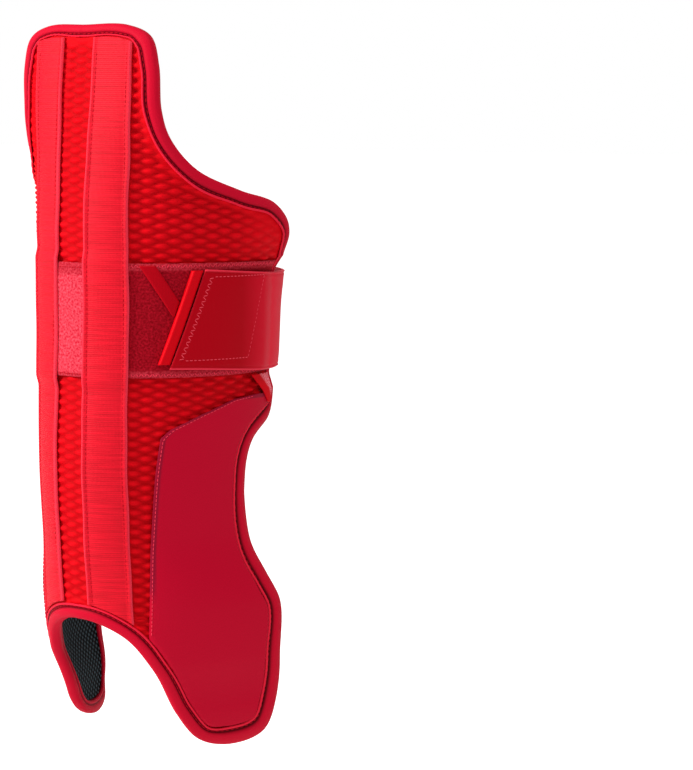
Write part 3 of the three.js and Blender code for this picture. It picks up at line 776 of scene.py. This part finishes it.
# %% Loop panel
beside_lip = binding_lip + 1 * mm
panel_thickness = 1.2 * mm
down, across = grid(60, 260)
z = lerp(panel_half, -panel_half, down) + 0 * across
panel_end = outer_reach(z, beside_lip)
reach = lerp(-panel_end, panel_end, across)
fuzz = 0.12 * mm * np.sin(reach / (1.7 * mm) + 2 * np.sin(z / (2.1 * mm))) * np.sin(z / (1.3 * mm))
flat = pressed(across, down, 260 * mm, 2 * panel_half, 5 * mm, 0.55)

# Along both sewn edges the pile is partly lighter, and between the bands most of it is painted
# lighter: painted light.
outer_shade = 0.55 + 0.45 * ease(3.5 * mm, 4.5 * mm, panel_half - np.abs(z))
middle_shade = (0.5 * ease(panel_half - 7 * mm, panel_half - 6.2 * mm, z)
                + 0.3 * ease(2.6 * mm - panel_half, 2 * mm - panel_half, z))
loop_panel = slab("loop_panel", "pile", reach, z,
                  layer_gap + panel_thickness * flat + fuzz * (flat > 0.9), layer_gap, loop_pile,
                  np.where(np.abs(reach) > 20 * mm, outer_shade, middle_shade))

# %% [markdown]
# ## The shin bands
# Two woven elastics run from the top of the tab to the arch. Each is folded under at both long edges,
# which shows as a thin raised line, and its ribs run across. It climbs onto the loop panel and off it.
# It could be a curve with a flat profile. The columns of a slab can crowd at the folds.

# %% Where a band lies
over_panel = 1.9 * mm


def band_inner(z, sign):
    """Towards the knee the far band leans further out, and it is narrower there."""
    return band_start + (3.4 if sign < 0 else 0.4) * mm * ease(40 * mm, 140 * mm, z)


def band_breadth(z, sign):
    return band_width - (4.5 * mm * ease(40 * mm, 140 * mm, z) if sign < 0 else 0.0)


def band_base(z):
    """It lies on the pad, and on the loop panel where it crosses that."""
    return lerp(layer_gap, over_panel, ease(40 * mm, 32.5 * mm, z) * ease(-40 * mm, -32.5 * mm, z))


print(2 * band_start / mm, "mm between the bands")

# %% Shin bands
both_sides = (("near", 1), ("far", -1))
# Half of the section: share of the width, and thickness in millimetres.
band_half = [(0, 0.7), (0.015, 1.5), (0.04, 1.8), (0.075, 1.6), (0.11, 1.0), (0.16, 1.15), (0.25, 1.3),
             (0.37, 1.35)]
band_section = np.array(band_half + [(0.5, 1.35)] + [(1 - at, thick) for at, thick in band_half[::-1]])


def band(side, sign):
    down = np.linspace(0, 1, 640)[:, None]
    across, fold = band_section.T[:, None]
    rough = lerp(150 * mm, -170 * mm, down)
    reach = band_inner(rough, sign) + band_breadth(rough, sign) * across
    z = lerp(edge_height(reach, 0.72 * binding_lip + 0.9 * mm, False),
             edge_height(reach, binding_lip + 1.2 * mm, True), down)
    wander = 0.25 * mm * np.sin(z / (17 * mm) + sign) + 0.15 * mm * np.sin(z / (6.1 * mm))
    reach = reach + wander * np.clip(np.abs(across - 0.5) * 2, 0, 1)
    ribs = 0.06 * mm * ripple(z, 1.9 * mm) * (0.5 + 0.5 * np.sin(z / (7 * mm)))
    base = band_base(z)
    top = base + fold * mm + ribs
    # fold_shade is 0 at the outer folds, where the elastic finish paints a highlight.
    fold_shade = ease(0.5, 0.44, np.abs(across - 0.5))
    piece = slab("shin_band_" + side, "elastic", reach, z, top, base, elastic, fold_shade,
                 sign=sign)


for side, sign in both_sides:
    band(side, sign)

# %% [markdown]
# ## The ankle panels
# A smooth coated panel covers each ankle bone. It is sewn down along its front edge and caught in the
# binding on the other sides. It could be cut from the shell and pushed out, but its front edge has a
# curve of its own. So it is a slab, and the puffs underneath press through that edge a little.

# %% Outline of an ankle panel
# height, reach of the panel's front edge, as shares
panel_front = np.array([
    (0.170, 0.305), (0.286, 0.328), (0.392, 0.360), (0.442, 0.380), (0.454, 0.420), (0.471, 0.540),
    (0.491, 0.705), (0.495, 0.830),
])
ankle_lift = 0.8 * mm
ankle_thickness = 1.1 * mm
ankle_top_z = 0.495 * guard_height - strap_height
under_lip = 9.6 * mm * binding_share(edge_path)
ankle_tip_z = float(inset_edge(under_lip)[:, 1].min()) + 0.2 * mm


def ankle_edges(z):
    share = (z + strap_height) / guard_height
    front = np.interp(share, panel_front[:, 0], panel_front[:, 1]) * wing_reach
    return np.maximum(front, arch_reach(z, under_lip)), outer_reach(z, under_lip)


print("an ankle panel is", round((ankle_top_z - ankle_tip_z) / mm), "mm high")


# %% Ankle panels
def ankle_panel(side, sign):
    _, across = grid(2, 64)
    # The rows crowd towards both ends, where the outline turns.
    down = (1 - np.cos(np.linspace(0, math.pi, 200)))[:, None] / 2
    z = lerp(ankle_top_z, ankle_tip_z, down) + 0 * across
    front, edge = ankle_edges(z)
    reach = lerp(front, edge, across)
    near_front = across * np.abs(edge - front)
    under = puff_at(reach, z)
    press = ease(0, 5 * mm, near_front)
    top = ankle_lift + ankle_thickness * (0.45 + 0.55 * ease(0, 2.2 * mm, near_front))
    top = top + 0.3 * mm * (under - 0.5) * (1 - press) + 0.05 * mm * under
    border = ease(2.6 * mm, 3.4 * mm, np.minimum(near_front, (ankle_top_z - z) * 1.1 + 0.6 * mm))
    border = np.maximum(border, ease(-148 * mm, -160 * mm, z))
    piece = slab("ankle_panel_" + side, "cloth", reach, z, top, ankle_lift, coated,
                 border, sign=sign)


for side, sign in both_sides:
    ankle_panel(side, sign)

# %% [markdown]
# ## The strap, its hook pad, the pull tab and the tapes
# The strap is wide elastic webbing. It goes from its slanted end on the near wing round the open back
# to the far wing. The slanted end is stiffened with a hook pad and edged by a plain folded tab. A
# cloth simulation could draw it tight, but its way is known, and a slab can follow it directly.

# %% Way of the strap
strap_width = 56 * mm
strap_thickness = 2 * mm
end_reach = 66.5 * mm
end_lean = 20 * mm
anchor_reach = 74 * mm
hook_length = 44 * mm
strap_over_hook = 3.9 * mm
strap_over_edge = 1.9 * mm
strap_over_back = 0.8 * mm


def slanted(z):
    return end_reach + z / strap_width * end_lean


def strap_middle(reach):
    """It sags a little on its way to the back."""
    return 1 * mm - 4 * mm * ease(end_reach - 10 * mm, wing_reach, reach)


def girth(z):
    _, width, depth = section_at(z)
    return arc_steps(width[..., None], depth[..., None], turn_steps[::2]).sum(-1)


print("round the calf:", round(float(girth(0.0)) / mm), "mm")

# %% Strap
selvedge_rows = np.array([28, 27.7, 27.3, 26.9, 26.5, 26.1, 25.6, 24.8])
rows = np.concatenate([selvedge_rows, np.linspace(23.5, -23.5, 22), -selvedge_rows[::-1]])
offset = rows[:, None] * mm
_, along = grid(2, 330)
start = slanted(1 * mm + offset)
reach = lerp(start, girth(strap_middle(wing_reach) + offset) - anchor_reach, along)
z = strap_middle(reach) + offset

past_hook = end_reach + hook_length + 8 * mm
from_back = np.abs(reach - girth(z) / 2)
over_wing = lerp(strap_over_back, strap_over_edge, ease(42 * mm, 64 * mm, from_back))
base = lerp(strap_over_hook, over_wing, ease(past_hook, past_hook + 14 * mm, reach))

# The woven edge is a thin roll beside a groove, and the sewn box presses its own rim down.
from_side = strap_width / 2 - np.abs(offset)
groove = ease(0.9 * mm, 1.5 * mm, from_side) * ease(2.6 * mm, 1.9 * mm, from_side)
selvedge = ease(0, 0.7 * mm, from_side) - 0.35 * groove
box_press = ease(2.5 * mm, 5 * mm, reach - start) * ease(5 * mm, 8 * mm, from_side)
top = base + strap_thickness * (0.5 + 0.5 * selvedge) + 0.25 * mm * (box_press - 1)
# The shade is 0 at the woven edges, where the satin finish paints a highlight.
strap = slab("calf_strap", "webbing", reach, z, top, base, satin,
             ease(0.6 * mm, 1.3 * mm, from_side))
print("strap:", round(float(np.ptp(reach)) / mm), "mm long")

# %% Hook pad
hook_base, hook_top = 2.2 * mm, 3.3 * mm
down, across = grid(24, 24)
z = lerp(24 * mm, -25 * mm, down) + 0 * across
reach = lerp(slanted(z) + 1.5 * mm, end_reach + hook_length + z / strap_width * 11 * mm, across)
hook_pad = slab("hook_pad", "cloth", reach, z, hook_top, hook_base, loop_pile,
                shade_below=1.0)

# %% Pull tab
# share of the width, thickness in millimetres: the fold stands up along the edge that is pulled
tab_section = np.array([(0, 1.2), (0.04, 2.2), (0.1, 2.8), (0.2, 3.05), (0.3, 2.9), (0.45, 2.6),
                        (0.6, 2.5), (0.75, 2.45), (0.88, 2.3), (0.96, 1.9), (1, 1.2)])
tab_width = 6.6 * mm
tab_gap = 0.5 * mm
down = np.linspace(0, 1, 80)[:, None]
across, thickness = tab_section.T[:, None]
z = lerp(27.8 * mm, -24.2 * mm, down) + 0 * across
reach = lerp(slanted(z) - tab_gap - tab_width, slanted(z) - tab_gap, across)
slab("pull_tab", "fold", reach, z, hook_base + thickness * mm, hook_base, tape_knit)

# %% Diagonal tape
# A narrow satin tape runs down across the loop panel until it meets the tab.
tape_width = 9 * mm
tape_thickness = 0.6 * mm


def diagonal_left(z):
    return 40 * mm + (panel_half - z) * 0.64


foot = panel_half
while diagonal_left(foot) < slanted(foot) - 8.6 * mm:
    foot -= 0.25 * mm
down, across = grid(40, 12)
z = lerp(panel_half - 1 * mm, foot, down) + 0 * across
left = diagonal_left(z)
reach = lerp(left, np.minimum(left + tape_width, slanted(z) - 7.6 * mm), across)
top = hook_base + tape_thickness * pressed(across, down, tape_width, 30 * mm, 1 * mm)
slab("diagonal_tape", "cloth", reach, z, top, hook_base, satin, shade_below=1.0)
print("the diagonal tape ends at", round(foot / mm, 1), "mm")


# %% Gussets
def gusset(side, sign):
    """A three-cornered tape below the loop panel, at the wing's edge, with its end brushed."""
    top_z = -panel_half - 1 * mm
    height, width = 17 * mm, 19.5 * mm
    base = 2.3 * mm
    down, across = grid(36, 36)
    z = lerp(top_z, top_z - height, down) + 0 * across
    right = outer_reach(z, beside_lip) - 0.5 * mm
    left = lerp(outer_reach(top_z, beside_lip) - width,
                outer_reach(top_z - height, beside_lip) - 2 * mm, down)
    reach = lerp(left, right, across)
    top = base + tape_thickness * pressed(across, down, 19 * mm, height, 1 * mm)
    brushed = ease(0.34, 0.5, across - 0.5 * down) * ease(0.85, 0.6, down) * ease(1.02, 0.94, across)
    piece = slab("wing_gusset_" + side, "cloth", reach, z, top, base, brushed_tape, brushed,
                 sign=sign)


for side, sign in both_sides:
    gusset(side, sign)

# %% [markdown]
# ## Stitches
# A seam is thread from needle hole to needle hole. It could be an array along a curve. Here every seam
# is a row of guide edges, and a node tree turns each edge into one stitch, so that a straight seam
# and a zigzag need the same tree.


# %% The tree that lays thread
def stitch_tree():
    tree = bpy.data.node_groups.new("stitches on edges", "GeometryNodeTree")
    for name, way, kind in (("Geometry", "INPUT", "Geometry"), ("Thread thickness", "INPUT", "Float"),
                            ("Share of the edge", "INPUT", "Float"), ("Thread", "INPUT", "Material"),
                            ("Geometry", "OUTPUT", "Geometry")):
        tree.interface.new_socket(name, in_out=way, socket_type="NodeSocket" + kind)
    given = tree.nodes.new("NodeGroupInput").outputs
    along = add(tree, "GeometryNodeInputNamedAttribute", {"Name": "along"}, data_type="FLOAT_VECTOR")
    length = add(tree, "ShaderNodeVectorMath", {0: along.outputs[0]}, operation="LENGTH")
    long = calculate(tree, "MULTIPLY", length.outputs["Value"], given["Share of the edge"])
    size = add(tree, "ShaderNodeCombineXYZ", {
        "X": given["Thread thickness"], "Y": given["Thread thickness"], "Z": long})
    turned = add(tree, "FunctionNodeAlignEulerToVector", {"Vector": along.outputs[0]}, axis="Z")
    points = add(tree, "GeometryNodeMeshToPoints", {0: given["Geometry"]}, mode="EDGES")
    thread = add(tree, "GeometryNodeMeshUVSphere", {"Segments": 8, "Rings": 6, "Radius": 0.5})
    laid = add(tree, "GeometryNodeInstanceOnPoints", {
        "Points": points.outputs[0], "Instance": thread.outputs[0], "Rotation": turned.outputs[0],
        "Scale": size.outputs[0]})
    real = add(tree, "GeometryNodeRealizeInstances", {0: laid.outputs[0]})
    finished = add(tree, "GeometryNodeSetMaterial", {
        "Geometry": real.outputs[0], "Material": given["Thread"]})
    add(tree, "NodeGroupOutput", {0: finished.outputs[0]})
    return tree


lay_thread = stitch_tree()
print("the tree has", len(lay_thread.nodes), "nodes")


# %% Needle holes and thread
def seam(start, end, pitch, lift, zigzag=0.0):
    """Needle holes along a straight line on the cloth, from (reach, z) to (reach, z)."""
    start, end = np.array(start), np.array(end)
    run = np.hypot(*(end - start))
    count = max(int(round(run / pitch)), 1)
    line = lerp(start, end, np.linspace(0, 1, count + 1)[:, None])
    across = np.array([-(end - start)[1], (end - start)[0]]) / run
    line = line + across * (zigzag * (1 - 2 * (np.arange(count + 1) % 2)))[:, None]
    return on_leg(line[:, 0], line[:, 1], lift)


def sewn(name, seams, thread, thickness, share):
    """seams are arrays of points in space, one row of points for each seam."""
    starts = np.vstack([holes[:-1] for holes in seams])
    ends = np.vstack([holes[1:] for holes in seams])
    count = len(starts)
    guide = bpy.data.meshes.new(name + "_guide")
    guide.from_pydata(np.vstack([starts, ends]).tolist(), [(i, i + count) for i in range(count)], [])
    along = guide.attributes.new("along", "FLOAT_VECTOR", "EDGE")
    along.data.foreach_set("vector", (ends - starts).astype(np.float32).ravel())
    holder = bpy.data.objects.new(name + "_holder", guide)
    bpy.context.scene.collection.objects.link(holder)
    maker = holder.modifiers.new("thread", "NODES")
    maker.node_group = lay_thread
    values = {"Thread thickness": thickness, "Share of the edge": share, "Thread": thread}
    for item in lay_thread.interface.items_tree:
        if item.in_out == "INPUT" and item.name in values:
            maker[item.identifier] = values[item.name]
    graph = bpy.context.evaluated_depsgraph_get()
    mesh = bpy.data.meshes.new_from_object(holder.evaluated_get(graph))
    bpy.data.objects.remove(holder)
    bpy.data.meshes.remove(guide)
    mesh.name = name
    mounted(mesh)
    print(name, count, "stitches,", len(mesh.polygons), "faces")


# %% Seams of the bands and the panels
red_seams, rose_seams, pink_seams = [], [], []
for _, sign in both_sides:
    for across in (0.11, 0.89):
        holes = np.arange(148 * mm, -160 * mm, -2.6 * mm)
        reach = sign * (band_inner(holes, sign) + band_breadth(holes, sign) * across)
        red_seams.append(on_leg(reach, holes, band_base(holes) + 1.05 * mm))

from_edge = 1.6 * mm
for _, sign in both_sides:
    for z in (panel_half - from_edge, from_edge - panel_half):
        beside_band, beside_binding = band_start + band_width + 1 * mm, outer_reach(z, 12 * mm)
        rose_seams.append(seam((sign * beside_band, z), (sign * beside_binding, z), 1.5 * mm,
                               layer_gap + 1.0 * mm, zigzag=1.1 * mm))
    holes = np.linspace(0.494, 0.172, 90) * guard_height - strap_height
    front, _ = ankle_edges(holes)
    line = along_path(np.column_stack([front + 1.3 * mm, holes - 0.6 * mm]), 2.3 * mm)
    rose_seams.append(on_leg(sign * line[:, 0], line[:, 1], ankle_lift + 1.1 * mm))

between_bands = band_start - 1 * mm
for z in (panel_half - from_edge - 1 * mm, from_edge - panel_half):
    red_seams.append(seam((-between_bands, z), (between_bands, z), 1.8 * mm, layer_gap + 1.3 * mm))
sewn("stitches_rose", rose_seams, thread_finish["rose"], 0.5 * mm, 0.8)

# %% Seams of the strap
box_lift = strap_over_hook + strap_thickness - 0.1 * mm
box_top, box_low = 24.2 * mm, -22 * mm
slant_top, slant_low = end_reach + 51.5 * mm, end_reach + 39 * mm
pink_seams.append(seam((slanted(box_top) + 5 * mm, box_top), (slanted(box_low) + 4 * mm, box_low),
                       1.7 * mm, box_lift, zigzag=1.5 * mm))
for start, end, lift in (
        ((slanted(box_top) + 6.5 * mm, box_top), (slant_top, box_top), box_lift),
        ((slant_top, box_top), (slant_low, box_low), box_lift - 0.05 * mm),
        ((slanted(box_low) + 6 * mm, box_low), (slant_low, box_low), box_lift)):
    pink_seams.append(seam(start, end, 2.4 * mm, lift))
sewn("stitches_pink", pink_seams, thread_finish["pink"], 0.55 * mm, 0.72)

# %% Seam of the binding
# It runs in the groove of the section, all the way round.
groove_inset = 7.3 * mm
holes = path + width_share * groove_inset * direction
holes = np.vstack([holes, holes[:1]])
steps = np.concatenate([[0], np.cumsum(np.hypot(*np.diff(holes, axis=0).T))])
at = np.arange(0, steps[-1], 3.2 * mm)
reach, z = np.interp(at, steps, holes[:, 0]), np.interp(at, steps, holes[:, 1])
red_seams.append(on_leg(reach, z, pinched(0.25 * mm, groove_inset)))
sewn("stitches_red", red_seams, thread_finish["red"], 0.6 * mm, 0.75)

# %% [markdown]
# ## Stage and light
# A catalogue photograph is taken on white paper. A sky picture could light it, but lamps can be placed
# one by one: a large soft one on the left of the camera and a weak one above. The floor and the sky
# look whiter to the camera than to the guard, so that they do not wash out the reds.

# %% Floor and sky
def seen_by_camera(tree, otherwise, when_seen):
    seen = add(tree, "ShaderNodeLightPath").outputs["Is Camera Ray"]
    values = {0: seen, 1: 0.0, 2: 1.0, 3: otherwise, 4: when_seen}
    return add(tree, "ShaderNodeMapRange", values).outputs[0]


floor_z, floor_half = -0.33, 30
floor_mesh = bpy.data.meshes.new("floor")
floor_mesh.from_pydata([(x * floor_half, y * floor_half, floor_z)
                        for x, y in ((-1, -1), (1, -1), (1, 1), (-1, 1))], [], [(0, 1, 2, 3)])
floor = bpy.data.objects.new("floor", floor_mesh)
bpy.context.scene.collection.objects.link(floor)
paper, tree, surface, uv = new_finish("white paper sweep", 0.9)
dyed(tree, surface, "#fafafa")
surface.inputs["Emission Color"].default_value = linear("#ffffff")
tree.links.new(seen_by_camera(tree, 0.0, 0.7), surface.inputs["Emission Strength"])
floor_mesh.materials.append(paper)

world = bpy.data.worlds.new("pale sky")
bpy.context.scene.world = world
world.use_nodes = True
tree = world.node_tree
sky = tree.nodes["Background"]
sky.inputs["Color"].default_value = (1, 1, 1, 1)
tree.links.new(seen_by_camera(tree, 0.5, 1.0), sky.inputs["Strength"])
print("floor at", floor_z, "m")


# %% Lights
def soft_light(name, side, ahead, height, size, watts):
    """A round softbox, placed to the right of the guard, towards the camera and up."""
    light = bpy.data.lights.new(name, "AREA")
    light.shape = "DISK"
    light.size = size
    light.energy = watts
    lamp = bpy.data.objects.new(name, light)
    to_camera = Vector((back.x, back.y, 0)).normalized()
    place = aim + right * side + to_camera * ahead + Vector((0, 0, height))
    lamp.location = place
    lamp.rotation_mode = "QUATERNION"
    lamp.rotation_quaternion = (aim - place).to_track_quat("-Z", "Y")
    bpy.context.scene.collection.objects.link(lamp)


soft_light("softbox left", -1.7, 0.5, 0.8, 0.6, 31)
soft_light("softbox above", 0.1, 0.7, 1.7, 0.5, 9)
print(len(bpy.data.lights), "lights")
